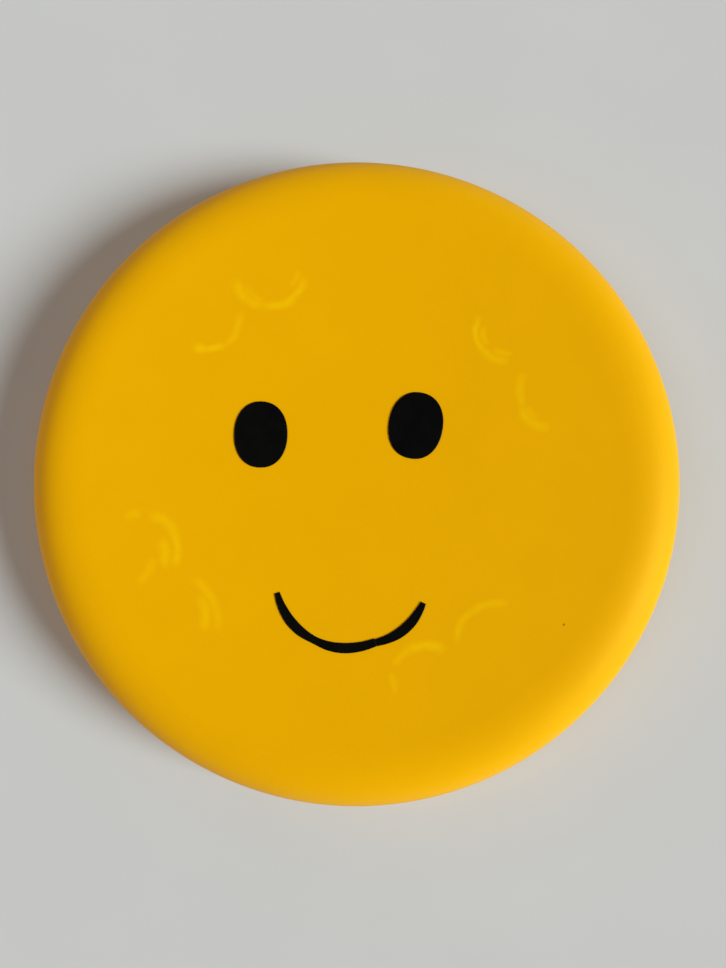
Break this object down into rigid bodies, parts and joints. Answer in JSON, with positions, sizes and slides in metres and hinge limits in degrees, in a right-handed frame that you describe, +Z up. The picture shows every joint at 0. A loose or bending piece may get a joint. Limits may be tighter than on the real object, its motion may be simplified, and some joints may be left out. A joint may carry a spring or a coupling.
{
  "type": "flying disc",
  "caption": "Round moulded flying disc with a gently dished plate, rounded shoulder and thick lip, hollow underneath, with a simple smiling face of black film on top.",
  "frame": {"origin": "centre of the flat ring on the lip that the disc stands on", "axes": "+Z up through the plate, +Y towards the face's forehead, +X to the face's right side as seen from above"},
  "size_m": [0.235, 0.235, 0.03],
  "materials": {
    "disc_plastic": "satin moulded polyethylene, lightly scuffed",
    "face_film": "satin black adhesive film"
  },
  "bodies": {
    "root": {"disc_shell": "disc_plastic", "left_eye": "face_film", "right_eye": "face_film", "mouth_left_strip": "face_film", "mouth_right_strip": "face_film"}
  },
  "joints": []
}
